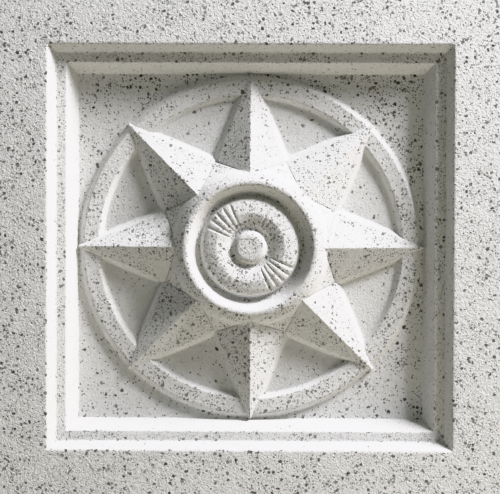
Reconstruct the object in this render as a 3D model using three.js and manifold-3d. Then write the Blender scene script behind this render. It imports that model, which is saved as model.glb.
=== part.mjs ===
// Architectural medallion: a square cast-stone wall panel, one casting, with an eight-rayed star
// and a round hub in a moulded square recess. All sizes are in millimetres.
// The carving is drawn face up: x to the right, y up the wall, z out of the floor of the recess.
// The finished panel is then stood upright: +X right, +Z up, its carved face towards -Y,
// with the origin in the middle of its flat back.

import * as THREE from 'three';
import { mergeVertices } from 'three/addons/utils/BufferGeometryUtils.js';
import Module from 'manifold-3d';

// The panel block
const PANEL_SIDE = 610;
const PANEL_THICKNESS = 92;
const PANEL_ARRIS = 2;

// The recess: outer bevel, flat ledge, inner bevel, floor
const OPENING_SIDE = 489;
const OPENING_ARRIS = 1.2;
const BEVEL_RUN = 9.6;
const BEVEL_DROP = 15;
const LEDGE_WIDTH = 12.2;
const INNER_BEVEL_RUN = 13.2;
const RECESS_DEPTH = 40;

// The flat ring that the ray tips reach
const RING_TOP_RADIUS = 193.8;
const RING_TOP_WIDTH = 18.2;
const RING_SLOPE_RUN = 5.5;
const RING_HEIGHT = 7;

// The rays: two planes that meet in a ridge, on a steep skirt
const RAY_COUNT = 8;
const TIP_RADIUS = 207.5;
const OUTLINE_ANGLE = THREE.MathUtils.degToRad(22.2);
const SKIRT_HEIGHT = 8;
const SKIRT_RUN = 5.3;
const SKIRT_TIP_RUN = 1.6;
const SKIRT_BOW_SHARE = 0.5;
const SKIRT_STATIONS = 9;
const END_RUN = 3.2;
const END_REACH = 0.8;

// The eight-sided shoulder between the rays, and the ridge's height where it meets it
const SHOULDER_RADIUS = 89;
const SHOULDER_HEIGHT = 31.7;

// The round hub, and the radius inside which it replaces the star
const HUB_RADIUS = 90;
const HUB_SEAT_RADIUS = 84;
const HUB_SEGMENTS = 64;
const RING_SEGMENTS = 96;
const RIM_CREST = { radius: 77.6, height: 37.6 };
const GROOVE = { radius: 61.8, height: 21 };
const ROLL_EDGE = { radius: 57.4, height: 25.2 };
const ROLL_CREST = { radius: 41.5, height: 34 };
const QUIRK = { radius: 22.5, height: 26.2 };
const BUTTON = { radius: 11.8, height: 33.6 };

// The radial cuts across the roll, in four fans on the diagonals, two of them worn shallow
const FAN_COUNT = 4;
const CUTS_PER_FAN = 5;
const CUT_SPACING = THREE.MathUtils.degToRad(9.5);
const CUT_INNER_RADIUS = 28;
const CUT_OUTER_RADIUS = 57;
const CUT_HALF_WIDTH = 1.5;
const CUT_DEPTH = 1.8;
const WORN_CUT_DEPTH = 0.9;
const CUT_STATIONS = 6;

// How far a solid reaches into its neighbour so that the two join
const BURIED = 6;

const FLOOR_LEVEL = PANEL_THICKNESS - RECESS_DEPTH;
const RAY_STEP = (2 * Math.PI) / RAY_COUNT;

const wasm = await Module();
wasm.setup();

// A closed three.js geometry as a solid that can be joined and cut
function solid(geometry) {
  const bare = geometry.index ? geometry.clone() : geometry;
  for (const name of ['normal', 'uv']) bare.deleteAttribute(name);
  const merged = mergeVertices(bare, 1e-4);
  return new wasm.Manifold(new wasm.Mesh({
    numProp: 3,
    vertProperties: new Float32Array(merged.attributes.position.array),
    triVerts: new Uint32Array(merged.index.array),
  }));
}

// A solid as a three.js geometry, with a flat normal on every face
function geometryOf(body) {
  const mesh = body.getMesh();
  const geometry = new THREE.BufferGeometry();
  geometry.setAttribute('position', new THREE.BufferAttribute(new Float32Array(mesh.vertProperties), 3));
  geometry.setIndex(new THREE.BufferAttribute(new Uint32Array(mesh.triVerts), 1));
  const faceted = geometry.toNonIndexed();
  faceted.computeVertexNormals();
  return faceted;
}

// A profile of [radius, height] points turned about the z axis. The first and last lie on the axis.
function turned(profile, segments, firstAngle = 0) {
  const points = profile.map(([radius, height]) => new THREE.Vector2(radius, height));
  const geometry = new THREE.LatheGeometry(points, segments, firstAngle);
  geometry.rotateX(Math.PI / 2);
  return solid(geometry);
}

// A square block with a profile of [half side, height] points, corners on the diagonals
function squareTurned(profile) {
  const cornered = profile.map(([halfSide, height]) => [halfSide * Math.SQRT2, height]);
  return turned(cornered, 4, Math.PI / 4);
}

// Closed sections with the same number of points, skinned one to the next and capped at both ends.
// Each section runs anticlockwise when it is looked at from the section that follows it.
function loft(sections) {
  const count = sections[0].length;
  const positions = sections.flat(2);
  const triangles = [];
  for (let i = 0; i + 1 < sections.length; i += 1) {
    for (let j = 0; j < count; j += 1) {
      const a = i * count + j;
      const b = i * count + (j + 1) % count;
      triangles.push(a, b, a + count, b, b + count, a + count);
    }
  }
  const last = (sections.length - 1) * count;
  for (let j = 1; j + 1 < count; j += 1) {
    triangles.push(0, j + 1, j, last, last + j, last + j + 1);
  }
  const geometry = new THREE.BufferGeometry();
  geometry.setAttribute('position', new THREE.Float32BufferAttribute(positions, 3));
  geometry.setIndex(triangles);
  return solid(geometry);
}

// The plain block with a small arris round its face
function panelBlock() {
  const half = PANEL_SIDE / 2;
  return squareTurned([
    [0, 0],
    [half, 0],
    [half, PANEL_THICKNESS - PANEL_ARRIS],
    [half - PANEL_ARRIS, PANEL_THICKNESS],
    [0, PANEL_THICKNESS],
  ]);
}

// The hollow of the recess, from its floor to above the face
function recessHollow() {
  const opening = OPENING_SIDE / 2;
  const bevelFoot = opening - BEVEL_RUN;
  const ledgeEdge = bevelFoot - LEDGE_WIDTH;
  const floorHalf = ledgeEdge - INNER_BEVEL_RUN;
  const ledgeLevel = PANEL_THICKNESS - BEVEL_DROP;
  return squareTurned([
    [0, FLOOR_LEVEL],
    [floorHalf, FLOOR_LEVEL],
    [ledgeEdge, ledgeLevel],
    [bevelFoot, ledgeLevel],
    [opening, PANEL_THICKNESS - OPENING_ARRIS],
    [opening + OPENING_ARRIS, PANEL_THICKNESS],
    [opening + OPENING_ARRIS, PANEL_THICKNESS + BURIED],
    [0, PANEL_THICKNESS + BURIED],
  ]);
}

// The flat band with sloped sides: a cone down outside, less the hollow inside it
function ring() {
  const outerTop = RING_TOP_RADIUS + RING_TOP_WIDTH / 2;
  const innerTop = RING_TOP_RADIUS - RING_TOP_WIDTH / 2;
  const outerFoot = outerTop + RING_SLOPE_RUN;
  const innerFoot = innerTop - RING_SLOPE_RUN;
  const outside = turned([
    [0, -BURIED],
    [outerFoot, -BURIED],
    [outerFoot, 0],
    [outerTop, RING_HEIGHT],
    [0, RING_HEIGHT],
  ], RING_SEGMENTS);
  const inside = turned([
    [0, -2 * BURIED],
    [innerFoot, -2 * BURIED],
    [innerFoot, 0],
    [innerTop, RING_HEIGHT],
    [innerTop, RING_HEIGHT + BURIED],
    [0, RING_HEIGHT + BURIED],
  ], RING_SEGMENTS);
  return outside.subtract(inside);
}

// Height of a ray's ridge at a distance from the centre: a straight fall from shoulder to tip
function ridgeHeight(distance) {
  const fall = (SHOULDER_HEIGHT - SKIRT_HEIGHT) / (TIP_RADIUS - SHOULDER_RADIUS);
  return SKIRT_HEIGHT + (TIP_RADIUS - distance) * fall;
}

// Half the width of a ray at the top of its skirt: straight lines that meet at the tip
function outlineHalfWidth(distance) {
  return (TIP_RADIUS - distance) * Math.tan(OUTLINE_ANGLE);
}

// How far the skirt spreads at its foot: little at the tip, so that the foot line bows outward
function skirtRun(distance) {
  const along = Math.max(0, TIP_RADIUS - distance) / (TIP_RADIUS - SHOULDER_RADIUS);
  const opened = Math.sin(Math.min(1, along / SKIRT_BOW_SHARE) * Math.PI / 2);
  return SKIRT_TIP_RUN + (SKIRT_RUN / Math.cos(OUTLINE_ANGLE) - SKIRT_TIP_RUN) * opened;
}

// One ray along +x: seven-cornered sections from its steep end to well inside the hub
function ray() {
  const section = (distance, skirtHeight, ridge) => {
    const top = outlineHalfWidth(Math.min(distance, TIP_RADIUS)) + 0.2;
    const foot = top + skirtRun(distance);
    return [
      [distance, -foot, -BURIED],
      [distance, -foot, 0],
      [distance, -top, skirtHeight],
      [distance, 0, ridge],
      [distance, top, skirtHeight],
      [distance, foot, 0],
      [distance, foot, -BURIED],
    ];
  };
  const rootDistance = SHOULDER_RADIUS * 0.7;
  const endFoot = TIP_RADIUS + END_REACH;
  const endTop = endFoot - END_RUN;
  const sections = [section(endFoot, 0.1, 0.2)];
  for (let i = 0; i <= SKIRT_STATIONS; i += 1) {
    const share = (i / SKIRT_STATIONS) ** 1.5;
    const distance = endTop + (rootDistance - endTop) * share;
    sections.push(section(distance, SKIRT_HEIGHT, ridgeHeight(distance) + 0.1));
  }
  return loft(sections);
}

// The eight-sided shoulder: its corners lie under the ridges and its sides slope to the notches
function shoulder() {
  const corner = Math.cos(RAY_STEP / 2);
  const notch = (TIP_RADIUS * Math.tan(OUTLINE_ANGLE))
    / (Math.sin(RAY_STEP / 2) + corner * Math.tan(OUTLINE_ANGLE));
  const notchCorner = notch / corner;
  const rise = (SHOULDER_HEIGHT - SKIRT_HEIGHT) / (notchCorner - SHOULDER_RADIUS);
  const topHeight = ridgeHeight(HUB_SEAT_RADIUS);
  const topRadius = SHOULDER_RADIUS - (topHeight - SHOULDER_HEIGHT) / rise;
  return turned([
    [0, -BURIED],
    [notchCorner, -BURIED],
    [notchCorner, SKIRT_HEIGHT],
    [topRadius, topHeight],
    [0, topHeight],
  ], RAY_COUNT);
}

// Height of the roll's back at a radius: two gentle slopes, rounded down to the groove and the quirk
function rollHeight(radius) {
  const outward = radius > ROLL_CREST.radius;
  const edge = outward ? ROLL_EDGE.radius : QUIRK.radius;
  const low = outward ? ROLL_EDGE.height : QUIRK.height;
  const share = (radius - ROLL_CREST.radius) / (edge - ROLL_CREST.radius);
  const bend = outward ? 0.45 * share + 0.55 * share ** 4 : 0.3 * share + 0.7 * share ** 2;
  return ROLL_CREST.height - (ROLL_CREST.height - low) * bend;
}

// The hub: a rounded rim, a deep groove, a roll, a quirk and a button, turned in one profile
function hub() {
  const profile = [
    [0, -BURIED],
    [HUB_RADIUS, -BURIED],
    [HUB_RADIUS, 29.6],
    [86.2, 33.2],
    [83.2, 35.7],
    [80.4, 37.2],
    [RIM_CREST.radius, RIM_CREST.height],
    [75.7, 36.8],
    [73.6, 34.3],
    [71.2, 30.1],
    [68.5, 25],
    [65.5, 21.4],
    [GROOVE.radius, GROOVE.height],
    [58.8, 22.5],
  ];
  const rollPoints = 9;
  for (let i = 0; i <= rollPoints; i += 1) {
    const radius = ROLL_EDGE.radius + (QUIRK.radius - ROLL_EDGE.radius) * (i / rollPoints);
    profile.push([radius, rollHeight(radius)]);
  }
  profile.push(
    [20.8, 26.7],
    [19.7, 28.2],
    [18.3, 30.8],
    [16.5, 32.6],
    [14.5, 33.4],
    [BUTTON.radius, BUTTON.height],
    [0, BUTTON.height],
  );
  return turned(profile, HUB_SEGMENTS);
}

// One V-shaped cut along +x, of one depth, that follows the back of the roll
function radialCut(depth) {
  const sections = [];
  for (let i = 0; i <= CUT_STATIONS; i += 1) {
    const radius = CUT_OUTER_RADIUS + (CUT_INNER_RADIUS - CUT_OUTER_RADIUS) * (i / CUT_STATIONS);
    const back = rollHeight(radius);
    const width = 2 * CUT_HALF_WIDTH * (radius / CUT_OUTER_RADIUS);
    sections.push([
      [radius, 0, back - depth],
      [radius, -width, back + depth],
      [radius, width, back + depth],
    ]);
  }
  return loft(sections);
}

// The whole relief above the floor of the recess
function relief() {
  let star = shoulder();
  const oneRay = ray();
  for (let i = 0; i < RAY_COUNT; i += 1) {
    star = star.add(oneRay.rotate([0, 0, (i * 360) / RAY_COUNT]));
  }
  const hubSeat = turned([
    [0, -2 * BURIED],
    [HUB_SEAT_RADIUS, -2 * BURIED],
    [HUB_SEAT_RADIUS, PANEL_THICKNESS],
    [0, PANEL_THICKNESS],
  ], HUB_SEGMENTS);
  let carved = star.add(ring()).subtract(hubSeat).add(hub());
  const cuts = [radialCut(WORN_CUT_DEPTH), radialCut(CUT_DEPTH)];
  const degrees = THREE.MathUtils.radToDeg(CUT_SPACING);
  for (let fan = 0; fan < FAN_COUNT; fan += 1) {
    for (let cut = 0; cut < CUTS_PER_FAN; cut += 1) {
      const angle = 45 + fan * 90 + (cut - (CUTS_PER_FAN - 1) / 2) * degrees;
      carved = carved.subtract(cuts[fan % 2].rotate([0, 0, angle]));
    }
  }
  return carved;
}

const body = panelBlock().subtract(recessHollow()).add(relief().translate([0, 0, FLOOR_LEVEL]));

const castStone = new THREE.MeshStandardMaterial({ color: 0xdcdad3, roughness: 0.9, metalness: 0 });
const medallion = new THREE.Mesh(geometryOf(body), castStone);
medallion.name = 'medallion_panel';
medallion.rotation.x = Math.PI / 2;

const group = new THREE.Group();
group.add(medallion);

export default group;
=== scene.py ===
"""A cast-stone wall medallion: a star with eight ridged rays and a round hub, on a flat ring,
in a moulded square recess. The panel is one closed surface worked out from named sizes.

Lengths are in metres. The panel stands upright: +X to the right, +Z up, its face towards -Y,
with the origin in the middle of its flat back. Heights of the relief are measured from the
floor of the recess towards the viewer.
"""

import math
from typing import NamedTuple

import bpy
import numpy as np
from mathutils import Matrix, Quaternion, Vector


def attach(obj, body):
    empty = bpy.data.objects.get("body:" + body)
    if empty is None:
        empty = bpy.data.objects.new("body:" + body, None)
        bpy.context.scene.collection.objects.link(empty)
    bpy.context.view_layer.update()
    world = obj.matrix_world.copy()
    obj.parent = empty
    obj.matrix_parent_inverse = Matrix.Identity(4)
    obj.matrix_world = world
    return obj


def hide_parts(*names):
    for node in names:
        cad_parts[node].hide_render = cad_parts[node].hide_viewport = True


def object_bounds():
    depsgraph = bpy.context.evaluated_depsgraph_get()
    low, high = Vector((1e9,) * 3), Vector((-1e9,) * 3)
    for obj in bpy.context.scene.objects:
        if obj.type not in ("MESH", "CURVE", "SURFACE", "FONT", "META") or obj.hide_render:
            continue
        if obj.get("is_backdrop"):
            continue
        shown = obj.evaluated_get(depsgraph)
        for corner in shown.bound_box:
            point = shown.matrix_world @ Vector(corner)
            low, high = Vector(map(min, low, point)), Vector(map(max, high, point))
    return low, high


bl_info = {
    "name": "Star Medallion",
    "version": (1, 0, 0),
    "blender": (4, 5, 0),
    "location": "View3D > Sidebar > Medallion",
    "description": "Builds a cast-stone wall medallion with an eight-rayed star",
    "category": "Add Mesh",
}

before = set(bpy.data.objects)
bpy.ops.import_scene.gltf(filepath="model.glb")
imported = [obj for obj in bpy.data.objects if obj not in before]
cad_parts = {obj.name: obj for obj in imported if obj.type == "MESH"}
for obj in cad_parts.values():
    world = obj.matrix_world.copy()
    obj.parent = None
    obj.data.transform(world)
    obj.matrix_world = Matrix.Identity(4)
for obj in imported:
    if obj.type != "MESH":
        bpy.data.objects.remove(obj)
cad_low, cad_high = (np.array(corner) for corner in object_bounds())

NODE = "medallion_panel"
PANEL_SIDE = float(cad_high[0] - cad_low[0])
PANEL_THICKNESS = float(cad_high[1] - cad_low[1])
RAYS = 8
HALF_SECTOR = math.pi / RAYS


# Sizes and finishes that a user would change


def length(name, default, description):
    """A property that holds a length in metres."""
    return bpy.props.FloatProperty(
        name=name, description=description, default=default, min=0.0, unit="LENGTH", precision=4
    )


def turning(name, degrees, description):
    """A property that holds an angle, whose default is given in degrees."""
    return bpy.props.FloatProperty(
        name=name, description=description, default=math.radians(degrees), subtype="ANGLE"
    )


def power(name, default, description):
    """A property that holds a light's power in watts."""
    return bpy.props.FloatProperty(
        name=name, description=description, default=default, min=0.0, subtype="POWER"
    )


def colour(name, default, description):
    """A property that holds a linear colour."""
    return bpy.props.FloatVectorProperty(
        name=name, description=description, default=default, size=3, min=0.0, max=1.0,
        subtype="COLOR",
    )


class MedallionSizes(bpy.types.PropertyGroup):
    """The carving's driving sizes."""

    arris: length("Outer arris", 0.002, "Rounding of the panel's own edges")
    opening_side: length("Opening side", 0.489, "Width of the recess at the face")
    opening_arris: length("Opening arris", 0.0022, "Rounding where the recess meets the face")
    bevel_run: length("Bevel run", 0.0096, "Width of the outer bevel, seen from the front")
    bevel_drop: length("Bevel drop", 0.015, "Depth from the face to the ledge")
    ledge_width: length("Ledge width", 0.0122, "Flat ledge between the two bevels")
    inner_bevel_run: length("Inner bevel run", 0.0132, "Width of the inner bevel")
    recess_depth: length("Recess depth", 0.040, "Depth from the face to the recess floor")
    ring_radius: length("Ring radius", 0.1938, "Middle of the flat ring")
    ring_width: length("Ring width", 0.0182, "Width of the ring's flat top")
    ring_slope: length("Ring slope", 0.0055, "Width of each of the ring's sloped sides")
    ring_height: length("Ring height", 0.007, "Height of the ring above the floor")
    tip_radius: length("Tip radius", 0.2100, "Distance of a ray's tip from the centre")
    skirt_height: length("Skirt height", 0.008, "Height of the steep skirt round the rays")
    skirt_run: length("Skirt run", 0.0053, "Width of the skirt, seen from the front")
    skirt_tip_run: length("Skirt run at tip", 0.0016, "Width of the skirt at a ray's tip")
    shoulder_radius: length("Shoulder radius", 0.0890, "Where the ridges meet the shoulder")
    shoulder_height: length("Shoulder height", 0.0317, "Height of a ridge at the shoulder")
    rim_height: length("Rim height", 0.0375, "Height of the hub's rounded rim")
    cut_depth: length("Cut depth", 0.0018, "Depth of the radial cuts on the roll")
    outline_angle: turning("Outline angle", 21.7, "Half the angle between a ray's two outlines")


class MedallionFinish(bpy.types.PropertyGroup):
    """The stone's colours."""

    paste: colour("Paste", (0.80, 0.795, 0.775), "The white binder of the cast stone")
    shade: colour("Paste shade", (0.60, 0.595, 0.57), "The greyer blotches in the binder")
    dark_grain: colour("Dark grains", (0.100, 0.097, 0.090), "The small black grains")
    veiled_grain: colour("Veiled grains", (0.200, 0.193, 0.180), "Black grains under thin paste")
    # The grey grains' colour also serves as the painted shade along the creases.
    grey_grain: colour("Grey grains", (0.34, 0.335, 0.32), "The larger grey grains")


class MedallionStage(bpy.types.PropertyGroup):
    """Where the camera stands and how strong the lights are."""

    distance: length("Camera distance", 3.4, "From the panel's face to the camera")
    turn: turning("Camera turn", 1.0, "How far the camera stands to the right")
    rise: turning("Camera rise", 2.1, "How far the camera stands above the panel's middle")
    roll: turning("Camera roll", 0.2, "How far the camera leans to the left")
    key_power: power("Key light", 184.0, "Power of the soft light at the upper right")
    fill_power: power("Fill light", 9.6, "Power of the warm light from below")
    back_power: power("Back light", 60.0, "Power of the soft light behind the panel")


# The relief as a height above the floor of the recess


# Widths of the roundings where two forms of the relief meet
PLANE_JOIN = 0.0003  # a ray's plane and the shoulder
SHOULDER_JOIN = 0.0008  # the shoulder's sides and the cone over its corners
SKIRT_JOIN = 0.0012  # a ray's plane and its skirt
TIP_JOIN = 0.001  # the skirt and the end of the tip
RING_JOIN = 0.0014  # the ring's top and its sides
FLOOR_JOIN = 0.0012  # the star, the ring, the floor and the hub

RIDGE_ROUNDING = 0.0006  # how far a ridge's rounded top reaches to each side
SKIRT_OPENING = 0.5  # share of a ray's length over which its skirt opens to full width
TIP_RUN = 0.0014  # width of the steep end of a tip, seen from the front
CREASE_DEPTH = 0.0007  # depth of the groove along a crease
CREASE_RISE = 0.0006  # difference of the two heights at the edges of a crease
CREASE_START = 0.005  # length over which a crease begins, outside the shoulder's corners
CREASE_END = 0.003  # length over which it ends, past the notch
UNDER_FLOOR = -0.02  # a height that is hidden by the floor


def smooth(value, low, high):
    """Rises smoothly from 0 to 1 as the value goes from low to high."""
    t = np.clip((value - low) / (high - low), 0.0, 1.0)
    return t * t * (3 - 2 * t)


def soft_max(a, b, round_off):
    """The larger of two heights, blended over a small rounding where they cross."""
    near = np.maximum(round_off - np.abs(a - b), 0.0) / round_off
    return np.maximum(a, b) + near**2 * round_off / 4


def soft_min(a, b, round_off):
    """The smaller of two heights, blended over a small rounding where they cross."""
    return -soft_max(-a, -b, round_off)


def fold(angle):
    """Angle from the nearest ridge, as a positive number up to half a sector."""
    sector = 2 * HALF_SECTOR
    return np.abs((angle + HALF_SECTOR) % sector - HALF_SECTOR)


def from_ridge(radius, off):
    """Distance along the nearest ridge, and aside from it, at an angle off the ridge. The second
    is the root of the true distance squared plus the rounding squared."""
    aside = np.sqrt((radius * np.sin(off)) ** 2 + RIDGE_ROUNDING**2)
    return radius * np.cos(off), aside


def skirt_spread(size, along):
    """Run of a ray's skirt at a distance along its ridge: it opens as a quarter sine from the tip."""
    share = (size.tip_radius - along) / (size.tip_radius - size.shoulder_radius)
    opened = np.sin(np.clip(share / SKIRT_OPENING, 0.0, 1.0) * math.pi / 2)
    full = size.skirt_run / math.cos(size.outline_angle)
    return size.skirt_tip_run + (full - size.skirt_tip_run) * opened


def ridge_fall(size):
    """Slope of a ridge, which falls straight from the shoulder to the skirt's height at the tip."""
    return (size.shoulder_height - size.skirt_height) / (size.tip_radius - size.shoulder_radius)


def notch_radius(size):
    """Where the straight outlines of two neighbouring rays meet, in the middle of the gap."""
    spread = math.tan(size.outline_angle)
    return size.tip_radius * spread / (math.sin(HALF_SECTOR) + math.cos(HALF_SECTOR) * spread)


def shoulder_slope(size):
    """Slope of a side of the shoulder: from the skirt's height at the notch to the shoulder's
    height above the side's middle."""
    middle = size.shoulder_radius * math.cos(HALF_SECTOR)
    return (size.shoulder_height - size.skirt_height) / (notch_radius(size) - middle)


def star_planes(size, radius, angle):
    """Heights of a ray's plane, which falls from its ridge to its straight outline, and of the
    sloped side of the eight-sided shoulder."""
    off = fold(angle)
    along, aside = from_ridge(radius, off)
    reach = size.tip_radius - along - aside / math.tan(size.outline_angle)
    facet = size.skirt_height + ridge_fall(size) * reach
    inward = size.shoulder_radius * math.cos(HALF_SECTOR) - radius * np.cos(HALF_SECTOR - off)
    return facet, size.shoulder_height + shoulder_slope(size) * inward


def crease(size, radius, angle):
    """1 along the line where a ray's plane meets the shoulder's side, falling straight to 0 as
    the two heights part. It begins at the shoulder's corner and ends just past the notch."""
    facet, side = star_planes(size, radius, angle)
    near = np.clip(1 - np.abs(facet - side) / CREASE_RISE, 0.0, 1.0)
    start = np.clip((radius - size.shoulder_radius) / CREASE_START, 0.0, 1.0)
    return near * start * np.clip((notch_radius(size) + CREASE_END - radius) / CREASE_END, 0.0, 1.0)


def star_height(size, radius, angle):
    """The rays' planes, with the shoulder's sides between them and a fine groove along each
    crease. A steep skirt falls from the outlines to the floor, and each tip has a steep end."""
    along, aside = from_ridge(radius, fold(angle))
    facet, side = star_planes(size, radius, angle)
    cone = size.shoulder_height + ridge_fall(size) * (size.shoulder_radius - radius)
    body = soft_max(facet, soft_min(side, cone, SHOULDER_JOIN), PLANE_JOIN)
    body = body - CREASE_DEPTH * crease(size, radius, angle)
    run = skirt_spread(size, along)
    outline = np.maximum(size.tip_radius - along, 0.0) * math.tan(size.outline_angle)
    skirt = size.skirt_height * (outline + run - aside) / run
    end = size.skirt_height * (size.tip_radius - radius) / TIP_RUN
    return soft_min(soft_min(body, skirt, SKIRT_JOIN), end, TIP_JOIN)


def ring_height(size, radius):
    """A flat band with two straight sloped sides."""
    reach = size.ring_width / 2 + size.ring_slope - np.abs(radius - size.ring_radius)
    return soft_min(size.ring_height * reach / size.ring_slope, size.ring_height, RING_JOIN)


# Points of the hub's section, as radius and height, and the radii of its rim's crest and outer end
QUIRK = (0.0225, 0.0262)
ROLL_CREST = (0.0415, 0.034)
ROLL_EDGE = (0.0585, 0.0270)
GROOVE = (0.0613, 0.0196)
CREST_RADIUS = 0.0788
HUB_RADIUS = 0.090

CUTS_BESIDE = 2  # cuts on each side of a fan's middle one
CUT_SPACING = math.radians(9.5)
CUT_HALF_WIDTH = 0.0030  # at the roll's outer edge, narrower in proportion further in
CUT_START = 0.027  # radius where the cuts begin
CUT_START_FADE = 0.004
CUT_END_FADE = 0.003
WORN_SHARE = 0.5  # depth of the two worn fans, as a share of the cut depth


def hub_profile(size):
    """Radii and heights of the hub's section, from its centre out."""
    button = [
        (0.0, 0.0336), (0.0118, 0.0336), (0.0145, 0.0334), (0.0165, 0.0326), (0.0183, 0.0308),
        (0.0197, 0.0282), (0.0208, 0.0267),
    ]
    roll = [
        QUIRK, (0.0243, 0.0266), (0.0262, 0.0280), (0.0295, 0.0302), (0.0355, 0.0326),
        (0.0395, 0.0336), ROLL_CREST, (0.0435, 0.0338), (0.0470, 0.0333), (0.0510, 0.0325),
        (0.0540, 0.0315), (0.0565, 0.0298), ROLL_EDGE, (0.0598, 0.0232),
    ]
    rim = [
        GROOVE, (0.0634, 0.0206), (0.0660, 0.0230), (0.0685, 0.0262), (0.0710, 0.0299),
        (0.0734, 0.0337), (0.0752, 0.0361), (0.0768, 0.0373), (CREST_RADIUS, size.rim_height),
        (0.0806, 0.0374), (0.0820, 0.0369), (0.0838, 0.0358), (0.0862, 0.0340),
        (HUB_RADIUS, 0.0309), (0.0940, 0.0247), (0.0960, 0.0),
    ]
    return np.array(button + roll + rim).T


def smooth_through(knots, values, at):
    """A curve through the knots whose slope at each knot is the harmonic mean of its neighbours'
    slopes, or level where they differ in sign, so that it never overshoots."""
    step = np.diff(knots)
    slope = np.diff(values) / step
    same = slope[:-1] * slope[1:] > 0
    total = np.where(same, slope[:-1] + slope[1:], 1.0)
    mean = np.where(same, 2 * slope[:-1] * slope[1:] / total, 0.0)
    tangent = np.concatenate(([slope[0]], mean, [slope[-1]]))
    i = np.clip(np.searchsorted(knots, at) - 1, 0, len(step) - 1)
    t = (at - knots[i]) / step[i]
    a, b = values[i], values[i + 1]
    return (
        a * (1 + 2 * t) * (1 - t) ** 2 + b * t**2 * (3 - 2 * t)
        + step[i] * t * (1 - t) * (tangent[i] * (1 - t) - tangent[i + 1] * t)
    )


def radial_cuts(size, radius, angle):
    """Four fans of V-shaped cuts, each fan on a diagonal: depth falls straight off to each side
    of a cut's line and fades at its two ends. The fans at the upper right and lower left are worn."""
    from_fan = np.abs(angle % (math.pi / 2) - math.pi / 4)
    nearest = np.clip(np.round(from_fan / CUT_SPACING), 0, CUTS_BESIDE) * CUT_SPACING
    aside = np.abs(from_fan - nearest) * radius
    half_width = CUT_HALF_WIDTH * radius / ROLL_EDGE[0]
    depth = size.cut_depth * np.clip(1 - aside / half_width, 0.0, 1.0)
    start = np.clip((radius - CUT_START) / CUT_START_FADE, 0.0, 1.0)
    end = np.clip((ROLL_EDGE[0] - radius) / CUT_END_FADE, 0.0, 1.0)
    return depth * (start * end) * np.where(np.sin(2 * angle) > 0, WORN_SHARE, 1.0)


def relief(size, radius, angle):
    """Height of the whole carving above the floor of the recess."""
    knots, heights = hub_profile(size)
    hub = smooth_through(knots, heights, np.clip(radius, 0.0, knots[-1]))
    hub = hub - radial_cuts(size, radius, angle)
    hub = np.where(radius > knots[-1], UNDER_FLOOR, hub)
    around = soft_max(star_height(size, radius, angle), ring_height(size, radius), FLOOR_JOIN)
    around = soft_max(soft_max(around, 0.0, FLOOR_JOIN), hub, FLOOR_JOIN)
    return np.where(radius < CREST_RADIUS, hub, around)


def floor_level(size):
    """Distance of the recess floor from the panel's back."""
    return PANEL_THICKNESS - size.recess_depth


# The grid: rows run out from the middle of the hub, columns run round


SPANS = (12, 7, 12)  # columns from ridge to outline, outline to foot, foot to mid gap
EVEN_COLUMNS = np.linspace(0.0, HALF_SECTOR, sum(SPANS) + 1)
LEAST_COLUMN = math.radians(0.35)
OUTLINE_TO_GAP = math.radians(2.6)  # least angle between an outline's column and mid gap
FOOT_TO_GAP = math.radians(1.6)  # least angle between a foot's column and mid gap
FOLLOW_START, FOLLOW_END = 0.080, 0.089  # radii between which the columns turn to the outlines
WIDE_RAY = 0.030  # half width of a ray whose columns crowd the most
CROWD_NARROW, CROWD_MORE = 0.6, 3.2  # crowding in a narrow ray, and what a wide one adds
CROWD_FOOT = 2.2  # crowding towards the foot of the skirt

# Radius where a stretch of rows ends, and the number of rows in it, out to past the notch
HUB_ROWS = ((0.0135, 5), (0.0295, 16), (0.054, 17), (0.064, 9), (0.084, 16), (0.092, 6), (0.118, 15))
RING_SIDE, RING_TOP = 0.0155, 0.0075  # the same for the ring, from its middle
LAST_ROUND = 0.0003  # from the last round row to the first square one
SQUARING_STEPS = 10
SQUARING_POWER = 2.2
TIP_CLEARANCE = 0.005  # squares further than this outside the tips are clear of the rays

CORNER_STEPS = 4
FLOOR_STRIP, FLOOR_CORNER = 0.0012, 0.0011  # flat strip at the moulding's foot, and its rounding
LEDGE_CORNER = 0.0016  # rounding at both sides of the ledge
FACE_STRIP = 0.004  # flat strip of the face round the opening
MARGIN_ROWS = 8
TIP_ROWS = np.array([0.0008, 0.0014])  # from the bevel's foot to the rows for the rays' tips
BACK_STRIP = 0.96  # half side of the first square on the back, as a share of the panel's
BACK_HOLE, BACK_ROWS = 0.03, 6  # half side of the last square on the back, and their number

# Each wave of the uneven surface: length, direction, reach and phase
WAVES = ((0.061, 0.3, 0.00006, 0.4), (0.037, 1.9, 0.00005, 2.1), (0.019, 3.7, 0.00003, 4.0))
CROSS_LENGTH = 1.3  # length of the waves across, as a share of the waves along
AXIS_PHASE = 1.7  # what sets the three coordinates' waves apart
CALM_EDGE = 0.006  # strip along the panel's edges where the waves fade out
CALM_DEPTH = 0.040  # the waves rise over this depth
CALM_START = 0.2  # share of that depth, from the back, where they begin


def crowd_ends(count, strength):
    """Shares from 0 to 1 that crowd towards both ends, as a hyperbolic tangent does."""
    t = np.linspace(0.0, 1.0, count + 1)[None, :]
    s = strength[:, None]
    return 0.5 * (1 + np.tanh(s * (t - 0.5)) / np.tanh(s / 2))


def crowd_start(count, strength):
    """Shares from 0 to 1 that crowd towards the start, as an exponential does."""
    t = np.linspace(0.0, 1.0, count + 1)[None, :]
    return (np.exp(strength * t) - 1) / (np.exp(strength) - 1)


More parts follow.
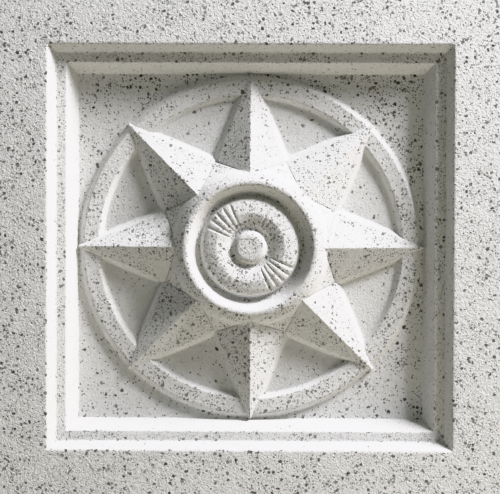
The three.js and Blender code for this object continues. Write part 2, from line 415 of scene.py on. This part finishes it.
def outline_column(size, radius):
    """Angle from a ridge to its ray's outline. The half width of the ray, where a circle of this
    radius crosses the outline, is the smaller root of a quadratic equation: the tip's radius less
    the root of radius squared less half width squared is the half width over the spread."""
    spread = math.tan(size.outline_angle)
    a = 1 + 1 / spread**2
    b = -2 * size.tip_radius / spread
    c = size.tip_radius**2 - radius**2
    half_width = (-b - np.sqrt(np.maximum(b * b - 4 * a * c, 0.0))) / (2 * a)
    return np.arcsin(np.clip(half_width / radius, 0.0, 1.0))


def crease_column(size, radius):
    """Angle from a ridge to the line where its ray's plane meets the shoulder's side."""
    fall, slope = ridge_fall(size), shoulder_slope(size)
    along = radius * (slope * math.cos(HALF_SECTOR) - fall)
    across = radius * (slope * math.sin(HALF_SECTOR) - fall / math.tan(size.outline_angle))
    rise = size.shoulder_height - size.skirt_height - fall * size.tip_radius
    level = rise + slope * size.shoulder_radius * math.cos(HALF_SECTOR)
    return np.arctan2(across, along) + np.arccos(np.clip(level / np.hypot(along, across), -1.0, 1.0))


def half_sector_angles(size, radius):
    """Angles of the columns from a ridge to the middle of the gap, one row for each radius. They
    are even in the hub. Outside it they follow the ray's outline, or its crease inside the
    notch, and the foot of its skirt."""
    r = np.minimum(radius, size.tip_radius)
    inside = radius < notch_radius(size)
    outline = np.where(inside, crease_column(size, radius), outline_column(size, r))
    foot = outline + skirt_spread(size, r * np.cos(outline)) / r
    outline = np.clip(outline, 2 * LEAST_COLUMN, HALF_SECTOR - OUTLINE_TO_GAP)
    foot = np.clip(foot, outline + 1.5 * LEAST_COLUMN, HALF_SECTOR - FOOT_TO_GAP)
    to_outline, to_foot, to_gap = SPANS
    wide = np.clip(radius * outline / WIDE_RAY, 0.0, 1.0)
    first = crowd_ends(to_outline, CROWD_NARROW + CROWD_MORE * wide) * outline[:, None]
    second = np.linspace(0.0, 1.0, to_foot + 1)[None, :] * (foot - outline)[:, None] + outline[:, None]
    rest = crowd_start(to_gap, CROWD_FOOT) * (HALF_SECTOR - foot)[:, None] + foot[:, None]
    followed = np.concatenate((first[:, :-1], second[:, :-1], rest), axis=1)
    share = smooth(radius, FOLLOW_START, FOLLOW_END)[:, None]
    return EVEN_COLUMNS[None, :] * (1 - share) + followed * share


def all_angles(half):
    """Repeats the half sector's columns, mirrored and turned, right round the panel."""
    whole = np.concatenate((half[:, :-1], 2 * HALF_SECTOR - half[:, :0:-1]), axis=1)
    turns = np.arange(RAYS) * 2 * HALF_SECTOR
    return (whole[:, None, :] + turns[None, :, None]).reshape(len(half), -1)


def spaced(*stretches):
    """Distances along consecutive stretches, each given as (end, number of steps)."""
    out, start = [], 0.0
    for end, steps in stretches:
        out.append(start + (end - start) * np.arange(1, steps + 1) / steps)
        start = end
    return np.concatenate(out)


def rounded_path(points, radii):
    """A path of straight lines whose corners are rounded: each corner is replaced by a curve that
    starts and ends its own radius away and bends as a parabola."""
    points = np.array(points, dtype=float)
    path = [points[0]]
    for before, corner, after, radius in zip(points, points[1:], points[2:], radii):
        into = (before - corner) / np.linalg.norm(before - corner)
        out = (after - corner) / np.linalg.norm(after - corner)
        for t in np.linspace(0.0, 1.0, CORNER_STEPS + 1):
            path.append(corner + into * radius * (1 - t) ** 2 + out * radius * t**2)
    path.append(points[-1])
    return np.array(path)


def moulding_path(size):
    """Half sides and depths behind the face of the recess's moulding, from its floor out to the
    face, with two more rows low on the inner bevel, where the tips of four rays run into it."""
    opening = size.opening_side / 2
    bevel_foot = opening - size.bevel_run
    ledge = bevel_foot - size.ledge_width
    floor = ledge - size.inner_bevel_run
    path = rounded_path(
        [
            (floor - FLOOR_STRIP, size.recess_depth), (floor, size.recess_depth),
            (ledge, size.bevel_drop), (bevel_foot, size.bevel_drop), (opening, 0.0),
            (opening + FACE_STRIP, 0.0),
        ],
        [FLOOR_CORNER, LEDGE_CORNER, LEDGE_CORNER, size.opening_arris],
    )
    fall = (size.recess_depth - size.bevel_drop) / size.inner_bevel_run
    more = np.column_stack((floor + TIP_ROWS, size.recess_depth - TIP_ROWS * fall))
    after_floor = CORNER_STEPS + 2
    return np.insert(path, after_floor, more, axis=0)


def margin_path(size):
    """Half sides and depths of the rows on the flat margin between the recess and the edges."""
    start = size.opening_side / 2 + FACE_STRIP
    half_sides = np.linspace(start, PANEL_SIDE / 2 - size.arris * 2, MARGIN_ROWS + 2)[1:-1]
    return np.column_stack((half_sides, np.zeros(MARGIN_ROWS)))


def edge_path(size):
    """Half sides and depths from the face, over the panel's own edge, to its back."""
    half = PANEL_SIDE / 2
    return rounded_path(
        [
            (half - size.arris * 2, 0.0), (half, 0.0), (half, PANEL_THICKNESS),
            (half * BACK_STRIP, PANEL_THICKNESS),
        ],
        [size.arris, size.arris / 2],
    )


def square_loop(half_side, turn):
    """Places on a square in the direction of each angle, by the tangent rule."""
    c, s = np.cos(turn), np.sin(turn)
    reach = np.maximum(np.abs(c), np.abs(s))
    return half_side * (c / reach), half_side * (s / reach)


def round_rows(size, radii, angle):
    """The hub, the star and the ring: one circle for each radius."""
    radius = np.broadcast_to(radii[:, None], angle.shape)
    level = floor_level(size) + relief(size, radius, angle)
    return np.stack((radius * np.cos(angle), -level, radius * np.sin(angle)), axis=-1)


def squaring_rows(size, radius, crowded, even):
    """The floor between the ring and the moulding, from a circle to a square."""
    half_side = moulding_path(size)[0][0]
    rows = []
    for step in range(1, SQUARING_STEPS):
        share = (step / SQUARING_STEPS) ** SQUARING_POWER
        turn = crowded * (1 - 0.5 * share) + even * 0.5 * share
        square_x, square_z = square_loop(half_side, turn)
        x = radius * np.cos(turn) * (1 - share) + square_x * share
        z = radius * np.sin(turn) * (1 - share) + square_z * share
        level = floor_level(size) + relief(size, np.hypot(x, z), np.arctan2(z, x))
        rows.append(np.stack((x, -level, z), axis=-1))
    return np.array(rows)


def square_rows(size, crowded, even):
    """The moulding, the margin, the edge and the back, as squares. The columns grow even on the
    moulding, and the rays' tips stand out of its inner bevel."""
    moulding = moulding_path(size)
    path = np.concatenate((moulding, margin_path(size), edge_path(size)))
    rows = []
    for i, (half_side, depth) in enumerate(path):
        share = 0.5 + 0.5 * min(1.0, i / (len(moulding) - 1))
        x, z = square_loop(half_side, crowded * (1 - share) + even * share)
        level = np.full_like(x, PANEL_THICKNESS - depth)
        if half_side < size.tip_radius + TIP_CLEARANCE:
            star = relief(size, np.hypot(x, z), np.arctan2(z, x))
            level = np.maximum(level, floor_level(size) + star)
        rows.append(np.stack((x, -level, z), axis=-1))
    for half_side in np.linspace(path[-1][0], BACK_HOLE, BACK_ROWS + 1)[1:]:
        x, z = square_loop(half_side, even)
        rows.append(np.stack((x, np.zeros_like(x), z), axis=-1))
    return np.array(rows)


def uneven(rows):
    """Moves the cast surface by a fraction of a millimetre, as a hand-finished mould leaves it.
    Each coordinate is shifted by three waves of unlike lengths and directions: a sine along the
    wave times a cosine across it. The shift fades out at the panel's own edges and is nothing on
    the back."""
    x, y, z = rows[..., 0], rows[..., 1], rows[..., 2]
    from_edge = PANEL_SIDE / 2 - np.maximum(np.abs(x), np.abs(z))
    share = np.clip(from_edge / CALM_EDGE, 0.0, 1.0)
    share = share * np.clip(-y / CALM_DEPTH - CALM_START, 0.0, 1.0)
    moved = rows.copy()
    for axis in range(3):
        for wave, turn, reach, phase in WAVES:
            along = x * math.cos(turn + axis) + z * math.sin(turn + axis)
            across = x * math.sin(turn - axis) - z * math.cos(turn - axis)
            swing = np.sin(2 * math.pi * along / wave + phase + AXIS_PHASE * axis)
            swing = swing * np.cos(2 * math.pi * across / (CROSS_LENGTH * wave) + phase)
            moved[..., axis] += reach * swing * share
    return moved


def panel_grid(size):
    """Vertices of the whole panel, as rows of one loop each, without the two poles."""
    last_round = moulding_path(size)[0][0] - LAST_ROUND
    radii = spaced(
        *HUB_ROWS, (size.ring_radius - RING_SIDE, 20), (size.ring_radius - RING_TOP, 9),
        (size.ring_radius + RING_TOP, 5), (last_round, 10),
    )
    angle = all_angles(half_sector_angles(size, radii))
    crowded = angle[-1]
    even = all_angles(EVEN_COLUMNS[None, :])[0]
    rows = (
        round_rows(size, radii, angle), squaring_rows(size, last_round, crowded, even),
        square_rows(size, crowded, even),
    )
    return uneven(np.concatenate(rows))


def closed_mesh(name, rows, front_height):
    """Joins the rows into one closed mesh with a pole at each end. Faces point outwards."""
    count, columns = rows.shape[:2]
    poles = [[0.0, -front_height, 0.0], [0.0, 0.0, 0.0]]
    vertices = np.concatenate((rows.reshape(-1, 3), poles))
    i, j = np.meshgrid(np.arange(count - 1), np.arange(columns), indexing="ij")
    beside = (j + 1) % columns
    quads = np.stack(
        (i * columns + j, (i + 1) * columns + j, (i + 1) * columns + beside, i * columns + beside),
        axis=-1,
    ).reshape(-1, 4)
    loop = np.arange(columns)
    after = (loop + 1) % columns
    front = np.column_stack((np.full(columns, len(vertices) - 2), loop, after))
    last = (count - 1) * columns
    back = np.column_stack((np.full(columns, len(vertices) - 1), last + after, last + loop))
    mesh = bpy.data.meshes.new(name)
    mesh.vertices.add(len(vertices))
    mesh.vertices.foreach_set("co", vertices.astype(np.float32).ravel())
    corners = np.concatenate((quads.ravel(), front.ravel(), back.ravel())).astype(np.int32)
    sides = np.concatenate((np.full(len(quads), 4), np.full(2 * columns, 3))).astype(np.int32)
    mesh.loops.add(len(corners))
    mesh.loops.foreach_set("vertex_index", corners)
    mesh.polygons.add(len(sides))
    starts = np.concatenate(([0], np.cumsum(sides)[:-1])).astype(np.int32)
    mesh.polygons.foreach_set("loop_start", starts)
    mesh.update(calc_edges=True)
    mesh.polygons.foreach_set("use_smooth", np.ones(len(sides), dtype=bool))
    mesh.set_sharp_from_angle(angle=math.radians(40))
    mesh.validate()
    return mesh


# The skin's marks and the bake map


TILT_START, TILT_END = 42, 52  # degrees away from the front between which the grains fade
FLOOR_START, FLOOR_FULL = 0.003, 0.001  # height above the floor where its marks begin and are full
RING_START, RING_FULL = 0.0008, 0.0002  # the same, below the ring's top
INSIDE_FULL, INSIDE_END = 0.016, 0.010  # from the ring's middle, inwards and outwards
INSIDE_SHARE = 0.08  # grains that show on the floor inside the ring
OUTSIDE_LEAST, OUTSIDE_MORE = 0.30, 0.85  # outside it, and what is added towards the upper right
OUTSIDE_REACH = 0.25  # of x + z, either way, over which it is added
RING_LESS, RING_TOP_LESS = 0.10, 0.35  # grains that the ring lacks, and that it lacks further up
RING_REACH = 0.12  # height above and below the centre over which that changes
EDGE_START, EDGE_FULL = 0.0020, 0.0005  # distance from the panel's own edges
BACK_START = 0.002  # distance from the back
UNSEEN_SHARE = 0.35  # grains that show on the edges and the back
CREASE_CLEAR = 0.006  # creases get their painted shade only further behind the face than this
HUB_INSIDE, HUB_OUTSIDE = 0.088, 0.094  # radii between which the hub's skin turns smooth
HUB_COARSE = 0.35  # coarseness of the hub, against 1 on the face
FACE_DEPTH = 0.002  # depth behind the face where the coarse skin ends

# Shares of the bake map's side
MAP_GAP = 0.006
MAP_FRONT = 0.812
MAP_STRIP = 0.084


def read(items, key, width=1, kind=np.float32):
    """One property of all the items, with one row of the given width for each."""
    values = np.empty(len(items) * width, dtype=kind)
    items.foreach_get(key, values)
    return values.reshape(-1, width) if width > 1 else values


def keep_number(mesh, name, values):
    """Keeps one number for each vertex under a name that the stone reads."""
    layer = mesh.attributes.new(name, "FLOAT", "POINT")
    layer.data.foreach_set("value", values.astype(np.float32))


def mark_skin(mesh, size):
    """Exposed, the share of grains that show, falls from 1 to 0 on steep surfaces. The floor shows
    few inside the ring, and outside it from a third at the lower left to all at the upper
    right. The ring shows fewer towards its top. The edges and the back show a third. Coarse is
    1 on the face outside the recess, 0 behind it, and between the two on the hub."""
    x, y, z = read(mesh.vertices, "co", 3).T
    facing = -read(mesh.vertices, "normal", 3)[:, 1]
    radius = np.hypot(x, z)
    behind = y + PANEL_THICKNESS
    tilt = np.degrees(np.arccos(np.clip(facing, -1, 1)))
    exposed = 1 - smooth(tilt, TILT_START, TILT_END)

    on_floor = smooth(behind, size.recess_depth - FLOOR_START, size.recess_depth - FLOOR_FULL)
    inside = 1 - smooth(radius, size.ring_radius - INSIDE_FULL, size.ring_radius + INSIDE_END)
    outside_share = OUTSIDE_LEAST + OUTSIDE_MORE * smooth(x + z, -OUTSIDE_REACH, OUTSIDE_REACH)
    floor_share = outside_share + (INSIDE_SHARE - outside_share) * inside
    exposed = exposed * (1 + (floor_share - 1) * on_floor)

    ring_top = size.recess_depth - size.ring_height
    on_ring = smooth(behind, ring_top - RING_START, ring_top - RING_FULL) * (1 - on_floor)
    exposed = exposed * (1 - on_ring * (RING_LESS + RING_TOP_LESS * smooth(z, -RING_REACH, RING_REACH)))

    half = PANEL_SIDE / 2
    on_edge = smooth(np.maximum(np.abs(x), np.abs(z)), half - EDGE_START, half - EDGE_FULL)
    unseen = np.maximum(on_edge, smooth(y, -BACK_START, 0.0))
    keep_number(mesh, "exposed", np.maximum(exposed, UNSEEN_SHARE * unseen))
    keep_number(mesh, "floor", on_floor)
    # The crease mark feeds the painted shade that greys the paste along each crease.
    keep_number(mesh, "crease", crease(size, radius, np.arctan2(z, x)) * (behind > CREASE_CLEAR))
    hub = (1 - smooth(radius, HUB_INSIDE, HUB_OUTSIDE)) * (behind < size.recess_depth)
    keep_number(mesh, "coarse", np.maximum(1 - smooth(behind, 0.0, FACE_DEPTH), HUB_COARSE * hub))


def add_bake_map(mesh):
    """Lays the panel out flat for baking. The front is seen straight on and fills most of the
    square, the four edges are strips beside and above it, and the back is a small corner."""
    edge_reach, edge_facing, back_facing, back_reach = 0.0016, 0.6, 0.5, 0.010
    place = read(mesh.vertices, "co", 3)[read(mesh.loops, "vertex_index", kind=np.int32)]
    sides = read(mesh.polygons, "loop_total", kind=np.int32)
    middle = np.repeat(read(mesh.polygons, "center", 3), sides, axis=0)
    normal = np.repeat(read(mesh.polygons, "normal", 3), sides, axis=0)
    x, z = place[:, 0] / PANEL_SIDE + 0.5, place[:, 2] / PANEL_SIDE + 0.5
    depth = 1 + place[:, 1] / PANEL_THICKNESS

    from_edge = PANEL_SIDE / 2 - np.maximum(np.abs(middle[:, 0]), np.abs(middle[:, 2]))
    sideways = np.maximum(np.abs(normal[:, 0]), np.abs(normal[:, 2]))
    on_edge = (from_edge < edge_reach) & (sideways > edge_facing)
    upright = on_edge & (np.abs(normal[:, 0]) > np.abs(normal[:, 2]))
    back = ~on_edge & (normal[:, 1] > back_facing) & (middle[:, 1] > -back_reach)

    start = MAP_FRONT + 2 * MAP_GAP
    corner = 1 - start - MAP_GAP
    u, v = MAP_GAP + MAP_FRONT * x, MAP_GAP + MAP_FRONT * z
    second = np.where(upright, normal[:, 0] < 0, normal[:, 2] < 0) * (MAP_STRIP + MAP_GAP)
    u = np.where(upright, start + second + MAP_STRIP * depth, u)
    v = np.where(on_edge & ~upright, start + second + MAP_STRIP * depth, v)
    u = np.where(back, start + corner * x, u)
    v = np.where(back, start + corner * z, v)
    layer = mesh.uv_layers.new(name="OFBake")
    layer.data.foreach_set("uv", np.column_stack((u, v)).astype(np.float32).ravel())


# The stone


class Grain(NamedTuple):
    """One kind of grain in the paste."""

    cell: float  # side of the cell of space that holds one
    smallest: float  # least radius, in cells
    largest: float  # greatest radius, in cells
    bulge: float  # width of the bulges that make its outline ragged
    reach: float  # how far the bulges move its outline
    least: float  # share of cells that hold one where the paste covers most
    more: float  # what full exposure adds to that share
    floor_change: float  # how that addition changes on the floor


FINE = Grain(
    cell=0.0024, smallest=0.22, largest=0.46, bulge=0.0022, reach=0.0010,
    least=0.06, more=0.70, floor_change=-0.18,
)
MIDDLE = Grain(
    cell=0.0050, smallest=0.19, largest=0.43, bulge=0.0028, reach=0.0018,
    least=0.01, more=0.48, floor_change=0.0,
)
LARGE = Grain(
    cell=0.0095, smallest=0.13, largest=0.28, bulge=0.0045, reach=0.0026,
    least=0.0, more=0.50, floor_change=-0.18,
)


def put(tree, slot, value):
    """Feeds a socket from another socket, or sets it to a fixed value."""
    if isinstance(value, bpy.types.NodeSocket):
        tree.links.new(value, slot)
    else:
        slot.default_value = value


def calc(tree, operation, *values):
    """One step of arithmetic on numbers or sockets."""
    node = tree.nodes.new("ShaderNodeMath")
    node.operation = operation
    for slot, value in zip(node.inputs, values):
        put(tree, slot, value)
    return node.outputs["Value"]


def line(tree, value, slope, start=0.0):
    """The start, plus the value times the slope."""
    return calc(tree, "MULTIPLY_ADD", value, slope, start)


def ease(tree, value, low, high):
    """Rises smoothly from 0 to 1 as the value goes from low to high."""
    node = tree.nodes.new("ShaderNodeMapRange")
    node.interpolation_type = "SMOOTHSTEP"
    put(tree, node.inputs["Value"], value)
    put(tree, node.inputs["From Min"], low)
    put(tree, node.inputs["From Max"], high)
    return node.outputs["Result"]


def blend(tree, share, a, b):
    """Goes from colour a to colour b."""
    node = tree.nodes.new("ShaderNodeMix")
    node.data_type = "RGBA"
    put(tree, node.inputs["Factor"], share)
    put(tree, node.inputs[6], a)
    put(tree, node.inputs[7], b)
    return node.outputs[2]


def noise(tree, where, grain, detail, distortion=0.0):
    """A node of smooth noise from 0 to 1 whose blotches are about one grain wide."""
    node = tree.nodes.new("ShaderNodeTexNoise")
    put(tree, node.inputs["Vector"], where)
    node.inputs["Scale"].default_value = 1 / grain
    node.inputs["Detail"].default_value = detail
    node.inputs["Distortion"].default_value = distortion
    return node


def attribute(tree, name):
    """A number kept at each point of the panel's surface."""
    node = tree.nodes.new("ShaderNodeAttribute")
    node.attribute_name = name
    return node.outputs["Fac"]


def warped(tree, where, bulge, reach):
    """Moves each place by up to twice the reach along each axis, in blotches one bulge wide, so
    that round cells turn ragged."""
    shift = tree.nodes.new("ShaderNodeVectorMath")
    shift.operation = "MULTIPLY_ADD"
    put(tree, shift.inputs[0], noise(tree, where, bulge, detail=1.0).outputs["Color"])
    shift.inputs[1].default_value = (2 * reach,) * 3
    put(tree, shift.inputs[2], where)
    return shift.outputs["Vector"]


def grains(tree, where, kind, plenty, on_floor):
    """Grains set in the paste, cut through by the surface. Each cell of the space holds a ball at a
    random place, with a random radius, and a share of the cells hold one. Gives the grain's
    cover from 0 to 1 and a random shade."""
    edge_low, edge_high = -0.02, 0.05
    share = line(tree, plenty, line(tree, on_floor, kind.floor_change, kind.more), kind.least)
    node = tree.nodes.new("ShaderNodeTexVoronoi")
    node.feature = "F1"
    put(tree, node.inputs["Vector"], warped(tree, where, kind.bulge, kind.reach))
    node.inputs["Scale"].default_value = 1 / kind.cell
    parts = tree.nodes.new("ShaderNodeSeparateColor")
    tree.links.new(node.outputs["Color"], parts.inputs["Color"])
    held = calc(tree, "LESS_THAN", parts.outputs["Red"], share)
    radius = line(tree, parts.outputs["Green"], kind.largest - kind.smallest, kind.smallest)
    edge = calc(tree, "SUBTRACT", radius, node.outputs["Distance"])
    cover = calc(tree, "MULTIPLY", ease(tree, edge, edge_low, edge_high), held)
    return cover, parts.outputs["Blue"]


def paste_colour(tree, where, finish, plenty, on_floor):
    """Pale paste with greyer blotches and fine grey dust, and painted shade along the creases, where the
    paste turns towards the grey grains' colour.
    """
    grey = (*finish.grey_grain, 1.0)
    mottle = ease(tree, noise(tree, where, grain=0.0038, detail=3.0).outputs["Fac"], low=0.45, high=0.75)
    paste = blend(tree, line(tree, mottle, slope=0.5), (*finish.paste, 1.0), (*finish.shade, 1.0))
    dust = ease(tree, noise(tree, where, grain=0.0017, detail=1.0).outputs["Fac"], low=0.50, high=0.68)
    dusty = line(tree, plenty, slope=0.18, start=line(tree, on_floor, slope=-0.12, start=0.24))
    paste = blend(tree, calc(tree, "MULTIPLY", dust, dusty), paste, grey)
    # Painted shade along each crease: the paste is greyed where a ray's plane meets the shoulder's side.
    return blend(tree, line(tree, attribute(tree, "crease"), slope=0.65), paste, grey)


def stone_material(finish):
    """White cast stone: pale paste with black and grey grains, rough where it was tooled, with
    fewer grains showing on the smooth moulded slopes."""
    material = bpy.data.materials.new("cast_stone")
    material.use_nodes = True
    tree = material.node_tree
    shader = tree.nodes["Principled BSDF"]
    where = tree.nodes.new("ShaderNodeTexCoord").outputs["Object"]
    coarse = attribute(tree, "coarse")
    on_floor = attribute(tree, "floor")

    # Grains gather in loose clusters, and fewer show where the paste covers them
    cluster = noise(tree, where, grain=0.030, detail=3.0).outputs["Fac"]
    gathered = ease(tree, cluster, low=0.28, high=0.60)
    plenty = calc(tree, "MULTIPLY", attribute(tree, "exposed"), gathered)
    bare, veiled = (*finish.dark_grain, 1.0), (*finish.veiled_grain, 1.0)
    dark = blend(tree, calc(tree, "MAXIMUM", coarse, on_floor), veiled, bare)
    stone = paste_colour(tree, where, finish, plenty, on_floor)
    covers = {}
    for kind in (FINE, MIDDLE, LARGE):
        covers[kind], tone = grains(tree, where, kind, plenty, on_floor)
        stone = blend(tree, covers[kind], stone, blend(tree, tone, dark, (*finish.grey_grain, 1.0)))
    tree.links.new(stone, shader.inputs["Base Color"])
    shader.inputs["Roughness"].default_value = 0.9
    shader.inputs["Specular IOR Level"].default_value = 0.3

    # Tooled skin: streaky hollows on the margin, faint tooth elsewhere, grains a little sunken
    streaks = noise(tree, where, grain=0.0037, detail=3.0, distortion=1.0).outputs["Fac"]
    tooth = noise(tree, where, grain=0.0024, detail=2.0).outputs["Fac"]
    height = calc(tree, "MULTIPLY", streaks, line(tree, coarse, slope=0.78, start=0.12))
    height = line(tree, tooth, line(tree, coarse, slope=-0.42, start=0.55), height)
    height = line(tree, covers[MIDDLE], slope=-0.12, start=height)
    bump = tree.nodes.new("ShaderNodeBump")
    bump.inputs["Distance"].default_value = 0.0012
    tree.links.new(height, bump.inputs["Height"])
    tree.links.new(bump.outputs["Normal"], shader.inputs["Normal"])
    return material


class MEDALLION_OT_panel(bpy.types.Operator):
    """Builds the carved cast-stone panel"""

    bl_idname = "medallion.panel"
    bl_label = "Carved Panel"

    def execute(self, context):
        size = context.scene.medallion_sizes
        rows = panel_grid(size)
        button_level = floor_level(size) + float(hub_profile(size)[1][0])
        mesh = closed_mesh("carved_panel", rows, button_level)
        mark_skin(mesh, size)
        add_bake_map(mesh)
        panel = bpy.data.objects.new("carved_panel", mesh)
        context.scene.collection.objects.link(panel)
        panel.data.materials.append(stone_material(context.scene.medallion_finish))
        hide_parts(NODE)
        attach(panel, "root")
        return {"FINISHED"}


# The stage: camera, lights, sky and floor


SENSOR_WIDTH = 36.0  # in millimetres
SEEN_WIDTH = 0.6014  # width of the panel's face that fills the picture
AIM_HEIGHT = 0.0010  # height of the camera's aim above the panel's middle

KEY_TURN, KEY_RISE = math.radians(49), math.radians(15.0)  # up from the right, and off the wall
KEY_DISTANCE = 2.7
KEY_SIDE, KEY_TINT = 0.8, (0.95, 0.94, 1.0)
FILL_PLACE = (0.50, -0.75, -1.42)
FILL_SIDE, FILL_TINT = 0.9, (1.0, 0.92, 0.76)
BACK_PLACE = (-1.1, 2.3, 0.25)
BACK_SIDE, BACK_TINT = 1.2, (1.0, 0.98, 0.96)
SKY_TINT, SKY_STRENGTH = (0.96, 1.0, 0.92, 1.0), 0.175

FLOOR_REACH = 4.0  # half side of the floor
FLOOR_GAP = 0.001  # between the panel's lowest point and the floor
FLOOR_COLOUR, FLOOR_ROUGHNESS = (0.70, 0.69, 0.67, 1.0), 0.9


def add_camera(scene, stage):
    """A camera a little above and to the right of the panel, and leaning slightly to the left."""
    camera = bpy.data.cameras.new("camera")
    camera.sensor_width = SENSOR_WIDTH
    camera.lens = camera.sensor_width * stage.distance / SEEN_WIDTH
    eye = bpy.data.objects.new("camera", camera)
    out = stage.distance * math.cos(stage.rise)
    eye.location = (
        out * math.sin(stage.turn), -PANEL_THICKNESS - out * math.cos(stage.turn),
        stage.distance * math.sin(stage.rise),
    )
    aim = Vector((0.0, -PANEL_THICKNESS, AIM_HEIGHT))
    look = (aim - eye.location).to_track_quat("-Z", "Y")
    eye.rotation_euler = (look @ Quaternion((0, 0, 1), stage.roll)).to_euler()
    scene.collection.objects.link(eye)
    scene.camera = eye


def area_light(scene, name, at, aim, side, watts, tint):
    """A square soft light at a place, turned towards another."""
    light = bpy.data.lights.new(name, "AREA")
    light.shape = "SQUARE"
    light.size = side
    light.energy = watts
    light.color = tint
    lamp = bpy.data.objects.new(name, light)
    lamp.location = at
    lamp.rotation_euler = (Vector(aim) - Vector(at)).to_track_quat("-Z", "Y").to_euler()
    lamp.visible_camera = False
    scene.collection.objects.link(lamp)


def add_lights(scene, stage):
    """A raking key light from the upper right, a warm fill from below and a light behind."""
    face = (0.0, -PANEL_THICKNESS, 0.0)
    beside = KEY_DISTANCE * math.cos(KEY_RISE)
    key_place = (
        beside * math.cos(KEY_TURN), face[1] - KEY_DISTANCE * math.sin(KEY_RISE),
        beside * math.sin(KEY_TURN),
    )
    area_light(scene, "key_light", key_place, face, KEY_SIDE, stage.key_power, KEY_TINT)
    area_light(scene, "fill_light", FILL_PLACE, face, FILL_SIDE, stage.fill_power, FILL_TINT)
    origin = (0.0, 0.0, 0.0)
    area_light(scene, "back_light", BACK_PLACE, origin, BACK_SIDE, stage.back_power, BACK_TINT)


def add_sky(scene):
    """An even pale sky, and the view that keeps the stone's colours true."""
    scene.view_settings.view_transform = "Khronos PBR Neutral"
    world = bpy.data.worlds.new("studio")
    world.use_nodes = True
    background = world.node_tree.nodes["Background"]
    background.inputs["Color"].default_value = SKY_TINT
    background.inputs["Strength"].default_value = SKY_STRENGTH
    scene.world = world


def add_floor(scene):
    """A pale floor under the panel that casts no light or shadow on it."""
    low = float(cad_low[2]) - FLOOR_GAP
    corners = [(x * FLOOR_REACH, y * FLOOR_REACH, low) for x, y in ((-1, -1), (1, -1), (1, 1), (-1, 1))]
    mesh = bpy.data.meshes.new("studio_floor")
    mesh.from_pydata(corners, [], [(0, 1, 2, 3)])
    floor = bpy.data.objects.new("studio_floor", mesh)
    scene.collection.objects.link(floor)
    material = bpy.data.materials.new("studio_floor")
    material.use_nodes = True
    shader = material.node_tree.nodes["Principled BSDF"]
    shader.inputs["Base Color"].default_value = FLOOR_COLOUR
    shader.inputs["Roughness"].default_value = FLOOR_ROUGHNESS
    floor.data.materials.append(material)
    floor.visible_diffuse = False
    floor.visible_shadow = False
    floor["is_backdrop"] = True


class MEDALLION_OT_stage(bpy.types.Operator):
    """Sets the floor, the lights and the camera"""

    bl_idname = "medallion.stage"
    bl_label = "Floor, Lights and Camera"

    def execute(self, context):
        scene = context.scene
        add_camera(scene, scene.medallion_stage)
        add_lights(scene, scene.medallion_stage)
        add_sky(scene)
        add_floor(scene)
        return {"FINISHED"}


class MEDALLION_PT_sidebar(bpy.types.Panel):
    """Lists the medallion's operators and sizes"""

    bl_idname = "MEDALLION_PT_sidebar"
    bl_label = "Star Medallion"
    bl_space_type = "VIEW_3D"
    bl_region_type = "UI"
    bl_category = "Medallion"

    def draw(self, context):
        layout = self.layout
        for operator in (MEDALLION_OT_panel, MEDALLION_OT_stage):
            layout.operator(operator.bl_idname)
        for name in GROUPS:
            group = getattr(context.scene, name)
            box = layout.box()
            for key in group.bl_rna.properties.keys():
                if key not in ("rna_type", "name"):
                    box.prop(group, key)


CLASSES = (
    MedallionSizes, MedallionFinish, MedallionStage, MEDALLION_OT_panel, MEDALLION_OT_stage,
    MEDALLION_PT_sidebar,
)
GROUPS = {
    "medallion_sizes": MedallionSizes,
    "medallion_finish": MedallionFinish,
    "medallion_stage": MedallionStage,
}


def register():
    for cls in CLASSES:
        bpy.utils.register_class(cls)
    for name, group in GROUPS.items():
        setattr(bpy.types.Scene, name, bpy.props.PointerProperty(type=group))


def unregister():
    for name in GROUPS:
        delattr(bpy.types.Scene, name)
    for cls in reversed(CLASSES):
        bpy.utils.unregister_class(cls)


def main():
    register()
    bpy.ops.medallion.panel()
    bpy.ops.medallion.stage()


if __name__ == "__main__":
    main()
